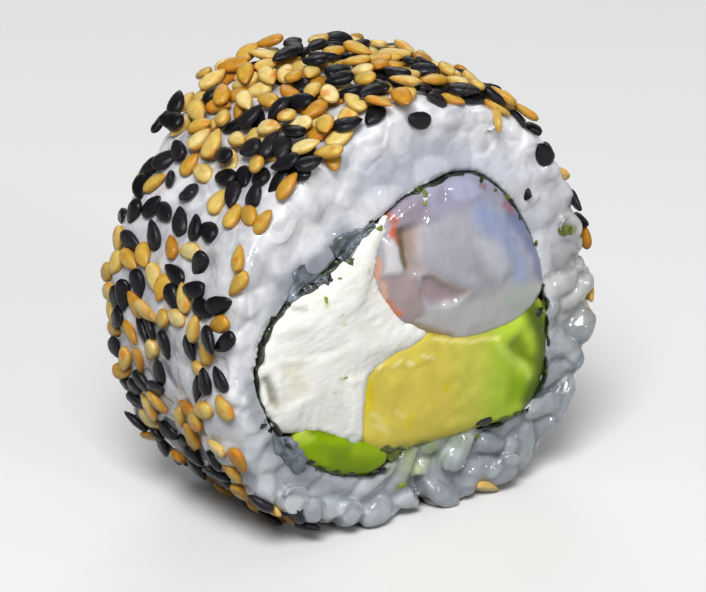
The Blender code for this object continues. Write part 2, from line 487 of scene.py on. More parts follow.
def seed_axes(rng, normal, turn):
    """Axes of a seed that lies on its flat side, a little tilted."""
    axes = axes_about(normal, turn)
    tilt, roll = rng.normal(0, 0.15), rng.normal(0, 0.2)
    lift = axes[0] * math.cos(tilt) + axes[2] * math.sin(tilt)
    side = axes[1]
    up = np.cross(lift, side)
    return np.array([
        lift, side * math.cos(roll) + up * math.sin(roll), up * math.cos(roll) - side * math.sin(roll),
    ])


def overlaps(centre, axes, others):
    """Whether a seed here would cut into one of the others, taken as flat ellipsoids."""
    skin = PROBE @ axes + centre
    for other_centre, other_axes in others:
        inside = ((skin - other_centre) @ other_axes.T / PROBE_SIZE) ** 2
        back = ((PROBE @ other_axes + other_centre - centre) @ axes.T / PROBE_SIZE) ** 2
        if inside.sum(axis=1).min() < 0.9 or back.sum(axis=1).min() < 0.9:
            return True
    return False


def settled(rng, hit, normal, placed, heights):
    """A seed lying on the rice, or leaning on its neighbours, as (centre, axes). None if it has no room."""
    near = [s for s in placed if np.linalg.norm(s[0] - hit) < 4.2]
    for height in heights:
        axes = seed_axes(rng, normal, rng.uniform(0, 2 * math.pi))
        centre = hit + normal * height
        if not overlaps(centre, axes, near):
            return centre, axes
    return None


def named_places(tree):
    """(centre, axes) and kind of each seed that stands out at the cut's edge."""
    places = []
    for across, up, back, turn, rise, kind in NAMED_SEEDS:
        spot = (across, back - HALF_LENGTH, up + AXIS_HEIGHT)
        near, normal, _, _ = tree.find_nearest(spot)
        axes = axes_about(np.array(normal), math.radians(turn))
        if rise < 0:
            axes = np.array([-axes[2], axes[1], axes[0]])
        places.append((np.array(near) + np.array(normal) * rise, axes, kind))
    return places


def sesame_places(rng, tree, placed):
    """(centre, axes) of each seed on the wall, thickest where the roll was pressed into the seeds."""
    placed = list(placed)
    count = len(placed)
    for _ in range(SEED_TRIES):
        angle = rng.uniform(-math.pi, math.pi)
        along = rng.uniform(0.3 - HALF_LENGTH, HALF_LENGTH - 0.3)
        out = np.array([math.cos(angle), 0.0, math.sin(angle)])
        thick = coat(out[0], out[2])
        patch = noise.noise((out[0] * 5, along / 4.5, out[2] * 5 + 9))
        if patch < 0.3 - 0.85 * thick or rng.uniform() > thick**2:
            continue
        if out[0] > 0.75 and along < 1.5 - HALF_LENGTH:
            continue
        start = np.array([0.0, along, AXIS_HEIGHT]) + out * 40
        hit, normal, _, _ = tree.ray_cast(start.tolist(), (-out).tolist())
        if hit is None or np.linalg.norm(np.array(hit) - start) > 40 - WALL_RADIUS:
            continue
        normal = np.array(normal) * 0.5 + out
        heights = (0.3, 0.3, 0.35, 0.4, 0.6, 0.9, 1.2, 1.5)[: 4 if thick < 0.75 else 8]
        place = settled(rng, np.array(hit), normal / np.linalg.norm(normal), placed, heights)
        if place:
            placed.append(place)
    return placed[count:]


def build_sesame(rng, rice_points, rice_faces):
    tree = BVHTree.FromPolygons(rice_points.tolist(), rice_faces.tolist())
    along, rim = seed_marks()
    kinds = {"sesame_golden": [], "sesame_black": []}
    named = named_places(tree)
    for centre, axes, kind in named:
        kinds[kind].append(seed_shape(rng) @ axes + centre)
    for centre, axes in sesame_places(rng, tree, [place[:2] for place in named]):
        lean = 0.35 * noise.noise((centre / 6).tolist()) + 0.005 * (centre[2] - AXIS_HEIGHT)
        golden = rng.uniform() < GOLDEN_SHARE + lean
        kinds["sesame_golden" if golden else "sesame_black"].append(seed_shape(rng) @ axes + centre)
    for name, seeds in kinds.items():
        points, faces = joined(seeds, SEED_BALL[1])
        points[:, 2] = np.maximum(points[:, 2], 0.05)
        bumpy = 0.06 if name == "sesame_black" else 0.03
        points = points + normals_of(points, faces) * bumpy * wobble(points, 0.6)[:, None]
        tones = np.repeat(rng.uniform(0, 1, len(seeds)), len(along))
        material = golden_material() if name == "sesame_golden" else black_material()
        marks = {"tone": tones, "along": np.tile(along, len(seeds)), "rim": np.tile(rim, len(seeds))}
        piece(name, points, faces, material, "rice", marks)


# Seeds at the cut's edge: across and up from the axis, back from the cut, turn in degrees, how far
# the seed lies off the rice (negative for one that stands on end, sunk by this much), and its kind.
NAMED_SEEDS = [
    (-5.0, 21.4, 0.8, 20, 0.3, "sesame_black"),
    (-0.5, 19.9, 0.4, 70, 0.3, "sesame_black"),
    (2.5, 21.6, 0.8, 10, 0.3, "sesame_black"),
    (6.5, 20.9, 0.8, 15, 0.3, "sesame_black"),
    (-1.0, 22.0, 1.4, 30, 0.5, "sesame_golden"),
    (9.6, 19.2, 0.8, 150, 0.4, "sesame_golden"),
    (8.4, 18.3, 0.2, 120, 0.3, "sesame_golden"),
    (4.6, 21.4, 1.2, 100, 0.3, "sesame_golden"),
    (-9.5, 20.6, 1.0, 160, 0.4, "sesame_golden"),
    (-10.5, 18.4, 0.0, 60, 0.3, "sesame_golden"),
    (15.0, 13.4, 0.4, 40, 0.1, "sesame_black"),
    (17.0, 13.2, 1.6, 60, 0.25, "sesame_black"),
    (12.8, 9.7, 0.0, 80, -0.8, "sesame_black"),
    (20.2, 7.9, 0.3, 100, 0.0, "sesame_black"),
    (21.2, 5.4, 0.9, 80, 0.2, "sesame_black"),
    (22.3, 3.4, 0.6, 20, 0.5, "sesame_golden"),
    (8.5, -21.3, 0.3, 10, 0.1, "sesame_golden"),
]


# ---------------------------------------------------------------- fillings


def filling_skin(node, ragged=0.0):
    """A filling swollen to touch its neighbours, with a lip at the cuts that the knife drew out."""
    points, faces = cad_mesh(node)
    points, faces = fused(points, faces, FILLING_VOXEL)
    edges = edges_of(faces)
    points = smoothed(points, edges, 3)
    normals = normals_of(points, faces)
    lip = 0.3 + ragged * (wobble(points, 1.3, 12.0) + 0.6 * wobble(points, 0.6, 19.0))
    lip *= smoothstep(HALF_LENGTH - 1.5, HALF_LENGTH, np.abs(points[:, 1]))
    points = points + normals * SWELL
    points[:, [0, 2]] += normals[:, [0, 2]] * lip[:, None]
    return points, faces, edges


def at_cut(points, normals):
    """1 on the cuts, falling to 0 on the sides."""
    return smoothstep(0.3, 0.8, np.abs(normals[:, 1]))


def across_cut(points):
    """Points as seen along the roll: across, and up from the axis."""
    return np.stack([points[:, 0], points[:, 2] - AXIS_HEIGHT], axis=1)


def from_line(points, line):
    """How far each point is, across the cut, from a line through named spots."""
    flat = across_cut(points)
    line = np.array(line, float).reshape(-1, 2)
    if len(line) == 1:
        return np.linalg.norm(flat - line[0], axis=1)
    away = np.full(len(points), np.inf)
    for start, end in zip(line, line[1:]):
        step = end - start
        share = np.clip(((flat - start) @ step) / (step @ step), 0, 1)
        away = np.minimum(away, np.linalg.norm(flat - start - share[:, None] * step, axis=1))
    return away


def within(points, outline):
    """How far each point is, across the cut, inside a closed outline. Negative outside it."""
    flat = across_cut(points)
    inside = np.zeros(len(points), bool)
    for start, end in zip(outline, outline[1:] + outline[:1]):
        crosses = (start[1] > flat[:, 1]) != (end[1] > flat[:, 1])
        slope = (end[0] - start[0]) / ((end[1] - start[1]) or 1e-9)
        inside ^= crosses & (flat[:, 0] < start[0] + slope * (flat[:, 1] - start[1]))
    away = from_line(points, outline + outline[:1])
    return np.where(inside, away, -away)


def marked(points, base, areas, lines):
    """A colour for each point: the base, with soft marks over it in order.

    An area is (closed outline, softness, display RGB, strength), and a line is (spots, radius,
    display RGB, strength). Spots are (across, up from the axis).
    """
    shaken = points + 0.3 * np.stack([wobble(points, 1.6, k * 9.0) for k in range(3)], axis=1)
    colours = np.tile(linear(base), (len(points), 1))
    shares = [(smoothstep(-soft, soft, within(shaken, outline)) * strength, colour)
              for outline, soft, colour, strength in areas]
    shares += [(strength * np.exp(-((from_line(shaken, line) / radius) ** 3)), colour)
               for line, radius, colour, strength in lines]
    for share, colour in shares:
        colours = colours + share[:, None] * (linear(colour) - colours)
    return colours


def carved(points, areas, lines):
    """Relief at each point, from areas (outline, softness, height) and lines (spots, radius, height)."""
    shaken = points + 0.25 * np.stack([wobble(points, 1.8, k * 9.0) for k in range(3)], axis=1)
    relief = np.zeros(len(points))
    for outline, soft, height in areas:
        relief += height * smoothstep(-soft, soft, within(shaken, outline))
    for line, radius, height in lines:
        relief += height * np.exp(-((from_line(shaken, line) / radius) ** 2))
    return relief


def linear(colour):
    """Display RGB from 0 to 255 as linear values."""
    share = np.array(colour) / 255
    return np.where(share <= 0.04045, share / 12.92, ((share + 0.055) / 1.055) ** 2.4)


# Colours and relief of the rice and the fillings, as marked() and carved() take them. Each mark was
# placed beside a view of the photographed cut, and its colour chosen. The large areas of
# the rice were then corrected against colours measured in the photo.
RICE_COLOUR = (240, 239, 240)
# Away from the cuts the wall has only this painted shade, which darkens it low down.
RICE_WALL_SHADE_AREAS = [([(-60, -10), (60, -2), (60, -60), (-60, -60)], 9.0, (166, 173, 177), 0.75)]
# The first three areas are painted shade, darkening the cut low down, at its right and most at its lower
# right; the last is a pale green stain under the avocado.
RICE_STAIN_AND_SHADE_AREAS = [
    ([(-24, -8), (24, -2), (24, -24), (-24, -24)], 4.0, (158, 167, 172), 0.72),
    ([(16.5, 8), (24, 9), (24, -9), (16, -6)], 2.5, (166, 165, 160), 0.75),
    ([(4, -15), (11, -14), (16, -6), (24, -6), (24, -18), (10, -24), (4, -24)], 2.0, (132, 138, 142), 0.6),
    ([(-4.4, -13.6), (5.8, -13.2), (7.4, -15.0), (3.4, -16.8), (-0.6, -18.2), (-3.6, -16.6)],
     0.8, (164, 178, 140), 0.7),
]
RICE_LINES = [
    ([(-11.6, 8.0), (-9.2, 9.9)], 1.3, (136, 146, 160), 0.7),
    ([(-16.8, 3.6), (-15.4, 6.4), (-13.0, 7.4)], 1.4, (128, 136, 150), 0.7),
    ([(-20.2, -3.0), (-18.8, -7.5)], 0.9, (132, 138, 146), 0.6),
    ([(-17.0, -9.5), (-14.0, -12.6)], 1.4, (96, 104, 118), 0.8),
    ([(-6, 15.0), (2, 15.5), (9, 12.4)], 2.0, (190, 196, 214), 0.6),
    ([(-0.9, -14.8), (-0.3, -16.8)], 0.8, (190, 205, 150), 0.8),
    ([(3.6, -15.4), (4.2, -16.2)], 0.7, (218, 226, 222), 0.8),
    ([(5.6, -13.2), (6.9, -15.2)], 0.5, (204, 214, 188), 0.8),
    ([(-2.4, -18.1), (-1.1, -17.9)], 0.4, (128, 150, 20), 0.9),
    ([(-5.0, -13.9), (-2.6, -14.4), (-1.2, -13.8)], 0.8, (112, 132, 30), 0.8),
    ([(1.2, -14.4), (2.2, -15.6)], 0.6, (150, 168, 80), 0.7),
    # Partly nori and partly painted shade: the dark hollow under the avocado.
    ([(6.2, -13.2), (8.8, -14.0), (11.4, -13.6)], 0.8, (34, 46, 14), 0.9),
    # Painted shade: near black in the deep crack low on the cut.
    ([(0.3, -18.4), (1.2, -20.6)], 0.4, (30, 32, 32), 0.95),
    ([(-4.9, -15.6), (-3.7, -16.0)], 0.4, (26, 32, 26), 0.9),
    # Painted shade: a broad grey over the lower right of the cut.
    ([(5.5, -18.0), (12.5, -15.6)], 3.0, (140, 146, 150), 0.5),
    ([(17.6, 5.4), (18.6, 4.9)], 0.5, (122, 136, 56), 0.9),
    ([(18.8, 2.1)], 0.25, (110, 84, 50), 0.9),
    ([(22.4, -4.0)], 0.9, (226, 170, 110), 0.6),
]
RICE_LINE_RELIEF = [
    ([(6.4, -13.4), (8.6, -14.2)], 0.7, -0.7),
    ([(0.2, -18.4), (1.3, -21.5)], 0.55, -1.3),
    ([(-4.9, -15.6), (-3.7, -16.0)], 0.4, -0.5),
]
SHRIMP_COLOUR = (163, 162, 170)
SHRIMP_LOBE = [
    (-0.9, 9.6), (0.5, 9.9), (3.0, 10.0), (6.0, 9.6), (8.5, 8.0), (10.2, 5.5), (10.0, 3.0), (8.0, 1.5),
    (5.0, 1.6), (3.4, 2.2), (1.8, 3.2), (0.2, 4.4), (-0.8, 5.0), (-1.3, 6.5), (-1.4, 8.0),
]
SHRIMP_RECESS = [
    (-3.1, 9.5), (-1.2, 9.7), (-1.6, 8.0), (-1.6, 6.4), (-1.1, 5.0), (-2.4, 5.1), (-2.9, 6.5),
]
SHRIMP_FLAP = [
    (-4.2, 11.5), (-3.6, 9.5), (-1.0, 9.7), (2.0, 10.1), (5.0, 10.3), (7.5, 10.0), (9.8, 8.6),
    (12.0, 9.5), (8.5, 13.0), (4.0, 14.5), (0.0, 13.0),
]
SHRIMP_FLAP_LUMP = [(2.6, 12.6), (3.4, 11.2), (5.6, 10.9), (6.7, 11.3), (6.2, 12.2), (4.8, 12.9)]
SHRIMP_PINK = [(-0.7, 4.4), (0.4, 4.1), (2.0, 3.0), (4.6, 1.7), (3.2, 0.9), (0.6, 0.9), (-0.8, 2.2)]
SHRIMP_LOW_FLAP = [
    (-5.4, 5.2), (-2.6, 5.0), (-1.2, 4.3), (-0.6, 2.3), (0.0, 0.3), (-2.5, -0.6), (-4.6, 1.6),
]
SHRIMP_LUMP = [
    (-4.9, 8.6), (-3.9, 8.8), (-3.2, 7.4), (-2.6, 5.2), (-3.6, 5.0), (-4.9, 5.4), (-4.7, 7.0),
]
SHRIMP_AREAS = [
    ([(-1, 0), (3, 1.2), (8, 1.2), (11, 2), (15, 0), (13, -4), (8, -5), (3, -4), (0, -2)],
     0.8, (184, 184, 181), 0.8),
    (SHRIMP_LOBE, 0.5, (166, 164, 175), 0.8),
    # Painted shade and painted light: the left side of the ridge on the inner lobe is darkened and its
    # right side lightened.
    ([(4.6, 7.2), (5.3, 5.8), (8.2, 1.6), (5.8, 2.0), (4.9, 4.2)], 0.6, (150, 148, 157), 0.75),
    ([(4.8, 7.4), (8.3, 1.7), (9.6, 3.2), (8.2, 6.2)], 0.5, (186, 188, 195), 0.7),
    (SHRIMP_FLAP, 0.7, (150, 148, 169), 0.85),
    ([(-4.2, 11.5), (-3.6, 9.5), (-1, 9.7), (0.5, 10.2), (0, 12.4)], 0.6, (145, 132, 145), 0.85),
    # Painted highlight on the lump of the top flap.
    (SHRIMP_FLAP_LUMP, 0.4, (168, 168, 196), 0.85),
    # Brownish, and darkened as painted shade in the recess.
    (SHRIMP_RECESS, 0.6, (158, 134, 116), 0.9),
    (SHRIMP_PINK, 0.3, (156, 134, 138), 0.9),
    (SHRIMP_LOW_FLAP, 0.35, (162, 140, 138), 0.85),
    (SHRIMP_LUMP, 0.25, (206, 204, 206), 0.95),
    ([(-4.1, 9.0), (-3.6, 10.0), (-3.0, 9.6), (-2.9, 8.0), (-3.3, 7.7), (-3.5, 8.6)],
     0.2, (218, 84, 26), 0.95),
]
SHRIMP_LINES = [
    ([(6.5, 9.2), (9.0, 7.0), (10.5, 4.5), (11.5, 1.5)], 1.4, (140, 158, 196), 0.8),
    ([(10.5, 8.4), (12.5, 6.2), (14.3, 3.2), (14.8, 1.0)], 1.0, (88, 106, 152), 0.85),
    ([(11.0, -0.5), (13.0, -2.0)], 1.6, (160, 173, 160), 0.8),
    # Painted shade at the deep left edge of the recess, then painted light on the inner lobe's rounded left
    # edge.
    ([(-2.9, 9.2), (-2.8, 7.2), (-2.5, 5.8)], 0.5, (100, 82, 46), 0.9),
    ([(-0.9, 9.2), (-1.3, 7.5), (-1.2, 5.6), (-0.6, 4.6)], 0.45, (196, 180, 172), 0.5),
    ([(0.2, 4.5), (1.8, 3.4), (3.4, 2.4), (4.8, 1.8)], 0.25, (206, 190, 176), 0.7),
    ([(4.6, 7.0), (6.2, 4.2), (8.1, 1.7)], 0.2, (176, 172, 170), 0.6),
    ([(-3.9, 10.9), (-3.3, 10.4)], 0.35, (178, 92, 56), 0.9),
    ([(-5.7, 7.2), (-5.5, 5.1)], 0.45, (214, 148, 110), 0.9),
    ([(-4.9, 4.1), (-4.5, 2.9)], 0.35, (226, 172, 144), 0.9),
    ([(-4.3, 2.3), (-3.4, 1.1), (-2.6, 0.5)], 0.3, (218, 110, 44), 0.9),
    # Painted reflection of the avocado: a yellow-brown band along the bottom edge.
    ([(-1.6, -0.7), (1.2, -2.1), (3.5, -3.1)], 0.5, (150, 120, 46), 0.8),
    ([(9.6, 9.6), (10.9, 8.3)], 0.35, (150, 76, 82), 0.85),
    ([(6.6, 12.0), (7.1, 11.7)], 0.35, (136, 84, 88), 0.8),
]
SHRIMP_AREA_RELIEF = [
    (SHRIMP_LOBE, 1.3, 0.55),
    (SHRIMP_RECESS, 0.7, -0.7),
    (SHRIMP_FLAP, 0.8, 0.25),
    (SHRIMP_FLAP_LUMP, 0.5, 0.25),
    (SHRIMP_PINK, 0.35, -0.5),
    (SHRIMP_LOW_FLAP, 0.4, 0.15),
    (SHRIMP_LUMP, 0.4, 0.5),
]
SHRIMP_LINE_RELIEF = [
    ([(4.6, 7.2), (6.2, 4.2), (8.2, 1.6)], 0.3, -0.14),
    ([(5.0, 3.6), (7.0, 2.2)], 0.7, -0.16),
    ([(-1.4, 4.2), (-0.7, 2.4), (0.0, 0.4)], 0.25, -0.25),
    ([(9.8, 6.2), (11.4, 5.8), (13.0, 5.0)], 0.3, -0.12),
]
AVOCADO_COLOUR = (206, 188, 80)
AVOCADO_CREASE = [
    (10.0, -5.7), (12.0, -5.0), (12.7, -6.2), (14.4, -8.3), (13.3, -8.7), (11.8, -7.4), (10.6, -6.6),
]
AVOCADO_LOBE = [
    (9.5, -4.6), (11.0, -3.4), (13.4, -2.6), (14.6, -5.5), (15.2, -8.0), (14.3, -8.3), (12.8, -6.2),
    (12.0, -4.9),
]
AVOCADO_AREAS = [
    ([(3.5, -2), (18, -2), (18, -15), (4.5, -15)], 2.6, (188, 190, 78), 0.85),
    ([(8.0, -2), (18, -2), (18, -15), (7.5, -15)], 1.9, (160, 188, 48), 0.85),
    ([(10.6, -8.5), (13.4, -9.8), (14, -12), (10.4, -12.2)], 0.9, (132, 168, 0), 0.9),
    (AVOCADO_LOBE, 0.4, (172, 200, 58), 0.9),
    # Painted shade in the crease between the body and the upper right lobe.
    (AVOCADO_CREASE, 0.6, (112, 136, 0), 0.9),
    ([(0.4, -1.4), (4.0, -2.6), (6.2, -3.4), (4.0, -3.6), (1.4, -2.7)], 0.25, (166, 144, 14), 0.85),
]
AVOCADO_LINES = [
    # Painted highlight along the edge of the body's right part, beside the crease.
    ([(9.3, -5.4), (11.0, -7.1), (12.6, -8.6), (13.2, -9.6)], 0.5, (190, 210, 96), 0.6),
    # Partly the darker green near the skin and partly painted shadow along the right rim.
    ([(13.4, -2.2), (14.7, -5.0), (15.1, -8.0), (14.9, -10.2), (13.4, -12.2)], 1.2, (54, 76, 4), 0.9),
    # Painted highlight along the top edge.
    ([(1.4, -2.9), (4.0, -3.8), (6.4, -4.3), (9.0, -4.5)], 0.22, (230, 218, 140), 0.8),
    ([(-6.7, -6.0), (-6.5, -8.2)], 0.8, (206, 180, 4), 0.85),
    ([(2.7, -8.1)], 0.55, (204, 184, 0), 0.85),
    ([(-1.8, -10.9)], 0.8, (206, 188, 44), 0.7),
    ([(0.9, -9.2)], 0.5, (200, 180, 40), 0.5),
    # Painted highlights: short wet dashes along the top left edge.
    ([(-5.2, -4.5), (-4.7, -4.1)], 0.2, (232, 218, 160), 0.8),
    ([(-3.6, -4.6), (-2.8, -4.2)], 0.2, (232, 218, 160), 0.8),
    ([(-1.9, -4.7), (-1.3, -5.1)], 0.2, (232, 218, 160), 0.8),
    ([(-0.4, -4.3), (1.2, -4.8)], 0.2, (232, 218, 160), 0.7),
    ([(-6.2, -9.2), (-5.2, -9.8)], 0.3, (224, 210, 140), 0.6),
    ([(-5.8, -10.4), (-4.2, -11.4)], 0.3, (224, 210, 140), 0.6),
    ([(-3.2, -9.6), (-2.4, -10.2)], 0.3, (224, 210, 140), 0.5),
    # Painted shade along the bottom edge.
    ([(-5.6, -13.0), (0.0, -13.6), (6.0, -13.4)], 0.7, (176, 166, 62), 0.7),
]
AVOCADO_AREA_RELIEF = [(AVOCADO_CREASE, 1.0, -0.25), (AVOCADO_LOBE, 0.8, 0.2)]
AVOCADO_LINE_RELIEF = [
    ([(9.3, -5.4), (11.0, -7.1), (12.6, -8.6), (13.2, -9.6)], 0.7, 0.12),
    ([(-5.2, -4.4), (-3.2, -4.3), (-1.2, -4.9), (1.2, -4.6)], 0.35, 0.12),
    ([(-6.0, -9.4), (-4.4, -10.6)], 0.5, 0.12),
]
TIP_COLOUR = (130, 160, 4)
TIP_AREAS = [
    # Painted shade: the tip darker at its lower right.
    ([(-11, -12.2), (-8, -12.6), (-5, -14), (-7, -16), (-12, -14.5)], 0.9, (104, 130, 0), 0.7),
]
TIP_LINES = [
    # Painted light at the upper left end, and painted shade under the cheese's overhang.
    ([(-15.0, -9.4), (-13.8, -9.6)], 0.8, (180, 196, 66), 0.9),
    ([(-13.0, -9.3), (-10.8, -10.2)], 0.35, (96, 118, 0), 0.8),
    ([(-8.0, -12.6), (-5.6, -13.4)], 0.7, (138, 164, 24), 0.7),
]
TIP_LINE_RELIEF = [([(-12.6, -10.2), (-9.4, -11.6)], 0.8, 0.3)]
CHEESE_COLOUR = (234, 234, 228)
CHEESE_AREAS = [
    ([(-16.4, -1.6), (-14.8, -1.4), (-13.6, -4.8), (-15.4, -5.4)], 0.8, (218, 213, 190), 0.7),
    # Painted shade: the lower part of the cheese a little greyer.
    ([(-17, -6), (-12, -5.4), (-9, -7), (-7.4, -12), (-12, -9.6), (-17, -9)], 1.2, (218, 219, 214), 0.6),
]
CHEESE_LINES = [
    # Painted shadow, dark olive, in the pit at the left edge.
    ([(-18.4, -2.8), (-17.9, -4.0), (-17.4, -5.4)], 0.55, (132, 126, 108), 0.85),
    ([(-11.8, 4.6), (-11.5, 3.6)], 0.22, (176, 190, 90), 0.8),
    ([(-10.0, 1.5), (-9.6, 1.4)], 0.14, (170, 186, 90), 0.8),
    ([(-10.4, 2.6), (-10.1, 2.5)], 0.1, (170, 186, 90), 0.7),
    ([(-10.2, -4.2), (-9.6, -4.3)], 0.14, (170, 190, 80), 0.8),
    ([(-10.8, -5.4), (-10.4, -5.5)], 0.1, (180, 190, 110), 0.7),
    ([(-6.8, 6.2), (-6.6, 5.9)], 0.14, (160, 164, 150), 0.6),
    ([(-15.4, 3.9), (-13.8, 3.8)], 0.3, (150, 150, 142), 0.6),
]
CHEESE_AREA_RELIEF = [
    ([(-16.6, 2.0), (-9.0, 7.0), (-6.0, 9.0), (-6.4, 4.0), (-12, 0.4)], 1.4, 0.25),
    ([(-9.4, -4.6), (-7.0, -4.6), (-7.2, -11.5), (-8.8, -10.4)], 0.4, 0.25),
    ([(-16.8, -1.4), (-14.2, -1.8), (-13.2, -5.0), (-16.2, -6.0)], 0.5, -0.2),
]
CHEESE_LINE_RELIEF = [
    ([(-18.4, -2.8), (-17.9, -4.0), (-17.4, -5.4)], 0.5, -0.6),
    ([(-9.2, -4.8), (-8.7, -7.4), (-8.9, -10.2)], 0.22, -0.16),
    ([(-16.4, -0.8), (-12.4, -1.2), (-9.0, -0.8)], 0.25, -0.1),
]


def raised(points, faces, relief):
    """Points moved out by a relief on the cuts. The far cut mirrors the near one."""
    normals = normals_of(points, faces)
    return points + normals * (relief * at_cut(points, normals))[:, None]


def build_shrimp():
    points, faces, edges = filling_skin("shrimp")
    relief = carved(points, SHRIMP_AREA_RELIEF, SHRIMP_LINE_RELIEF)
    relief += 0.12 * wobble(points, 3.0, 3.0) + 0.05 * wobble(points, 1.2, 5.0)
    tint = marked(points, SHRIMP_COLOUR, SHRIMP_AREAS, SHRIMP_LINES)
    points = smoothed(raised(points, faces, relief), edges, 1)
    piece("shrimp_flesh", points, faces, flesh_material(), "shrimp", {"tint": tint})
    return points, faces


def build_cheese():
    """Cream cheese, smeared sideways at the top and downwards at the bottom."""
    points, faces, _ = filling_skin("cream_cheese", 0.45)
    turned = points.copy()
    turned[:, 0] = points[:, 0] * 0.94 + points[:, 2] * 0.34
    turned[:, 2] = points[:, 2] * 0.94 - points[:, 0] * 0.34
    low = smoothstep(AXIS_HEIGHT - 1, AXIS_HEIGHT - 5, points[:, 2])
    smear = (1 - low) * wobble(turned, 0.9, 2.0, (4.0, 1.0, 0.7))
    smear += low * wobble(points, 0.9, 9.0, (0.8, 1.0, 3.6))
    relief = carved(points, CHEESE_AREA_RELIEF, CHEESE_LINE_RELIEF) + 0.12 * wobble(points, 3.5, 11.0)
    relief += 0.07 * smear + 0.03 * wobble(points, 0.7, 4.0)
    tint = marked(points, CHEESE_COLOUR, CHEESE_AREAS, CHEESE_LINES)
    points = raised(points, faces, relief)
    piece("cheese", points, faces, cheese_material(), "cream_cheese", {"tint": tint})
    return points, faces


def build_avocado(node, name, base, areas, lines, area_relief, line_relief):
    points, faces, _ = filling_skin(node, 0.3)
    relief = carved(points, area_relief, line_relief)
    relief += 0.14 * wobble(points, 3.5, 21.0) + 0.04 * wobble(points, 1.2, 2.0)
    tint = marked(points, base, areas, lines)
    points = raised(points, faces, relief)
    piece(name, points, faces, avocado_material(name), node, {"tint": tint})
    return points, faces


def build_nori():
    """The sheet, wavy, with ragged edges at the cuts."""
    points, faces = cad_mesh("nori")
    points, faces = fused(points, faces, NORI_VOXEL)
    edges = edges_of(faces)
    points = smoothed(points, edges, 3)
    normals = normals_of(points, faces)
    points = points - normals * 0.1
    points[:, 0] += 0.22 * wobble(points, 2.2, 31.0, (1.0, 2.0, 1.0))
    points[:, 2] += 0.22 * wobble(points, 2.2, 41.0, (1.0, 2.0, 1.0))
    edge = smoothstep(HALF_LENGTH - 2.5, HALF_LENGTH, np.abs(points[:, 1]))
    ragged = 0.9 * wobble(points, 1.6, 51.0, (1.0, 40.0, 1.0))
    ragged += 0.1 + carved(points, [], NORI_EDGE)
    points[:, 1] += np.sign(points[:, 1]) * edge * ragged
    points = points + normals * (0.06 * wobble(points, 0.7, 61.0))[:, None]
    piece("nori_sheet", points, faces, nori_material(), "nori")
    return points, faces


def build_scraps(tree):
    """Torn nori that lies over the rice at the near cut."""
    scraps = [scrap(outline, tree) for outline in NORI_SCRAPS]
    points, faces = joined(scraps, SCRAP_BALL[1])
    points = points + normals_of(points, faces) * (0.04 * wobble(points, 0.5))[:, None]
    piece("nori_scraps", points, faces, scrap_material(), "nori")


def scrap(outline, tree, lift=0.1):
    """A thin wrinkled sheet, as a closed shape that follows what lies under it."""
    unit = SCRAP_BALL[0]
    share = np.linalg.norm(unit[:, 1:], axis=1)
    turn = np.arctan2(unit[:, 2], unit[:, 1]) / (2 * math.pi) % 1
    closed = np.array(outline + outline[:1])
    reach = np.append(0, np.cumsum(np.linalg.norm(np.diff(closed, axis=0), axis=1)))
    rim = np.stack([np.interp(turn * reach[-1], reach, closed[:, k]) for k in (0, 1)], axis=1)
    middle = closed[:-1].mean(axis=0)
    flat = middle + share[:, None] * (rim - middle)
    depth = np.array([cut_depth(spot, tree) for spot in flat])
    points = np.stack([flat[:, 0], 0.8 * depth + 0.2 * depth.mean(), flat[:, 1] + AXIS_HEIGHT], axis=1)
    size = min(1.0, np.ptp(flat, axis=0).min() / 2)
    sway = np.stack([wobble(points, 0.8, 3.0), wobble(points, 0.8, 8.0)], axis=1)
    points[:, [0, 2]] += 0.25 * size * sway
    points[:, 1] += 0.1 * unit[:, 0] - lift - size * 0.15 * wobble(points, 1.2, 5.0)
    return points


def cut_depth(spot, tree):
    """Where the near cut lies along Y at a spot across it."""
    start = (spot[0], -HALF_LENGTH - 6, spot[1] + AXIS_HEIGHT)
    hit = tree.ray_cast(start, (0, 1, 0))[0]
    return -HALF_LENGTH if hit is None or hit.y > 1 - HALF_LENGTH else hit.y


def crumb_outline(rng, across, up, wide, high):
    """The ragged outline of a flat bit."""
    turns = np.linspace(0, 2 * math.pi, 12, endpoint=False)
    reach = rng.uniform(0.55, 1.15, len(turns))
    return [(across + wide * r * math.cos(t), up + high * r * math.sin(t)) for t, r in zip(turns, reach)]


def build_crumbs(rng, tree):
    """Flat bits of mashed avocado and nori that stick to the near cut."""
    crumbs, tones = [], []
    for across, up, wide, high, tone in CRUMBS:
        crumbs.append(scrap(crumb_outline(rng, across, up, wide, high), tree, 0.04))
        tones.append(np.full(len(SCRAP_BALL[0]), tone))
    points, faces = joined(crumbs, SCRAP_BALL[1])
    tones = np.concatenate(tones) + 0.15 * wobble(points, 0.5, 30.0)
    piece("avocado_crumbs", points, faces, crumb_material(), "avocado", {"tone": tones})


# Where the nori's edge is drawn back from the cuts, as (spots, radius, height).
NORI_EDGE = [
    ([(12.4, 6.8), (14.6, 3.2), (15.0, 0.4)], 1.6, -1.1),
    ([(-3.4, 11.2), (-1.6, 12.2)], 1.0, -0.9),
]
NORI_SCRAPS = [
    [(-10.8, 9.2), (-10.2, 10.0), (-8.0, 10.2), (-6.9, 10.4), (-5.8, 10.9), (-5.4, 10.2), (-7.0, 9.3),
     (-8.2, 8.0), (-8.9, 7.2), (-9.6, 7.6), (-10.5, 8.6)],
    [(-15.8, 4.4), (-15.0, 6.6), (-14.9, 7.5), (-13.7, 8.0), (-13.2, 7.0), (-11.6, 6.6), (-10.8, 6.4),
     (-11.2, 5.4), (-12.6, 5.3), (-14.2, 4.9), (-15.0, 4.6)],
    [(-17.4, -8.8), (-15.6, -9.2), (-14.2, -10.6), (-13.5, -12.2), (-13.6, -13.4), (-14.8, -13.4),
     (-16.0, -12.0), (-17.2, -10.4)],
]
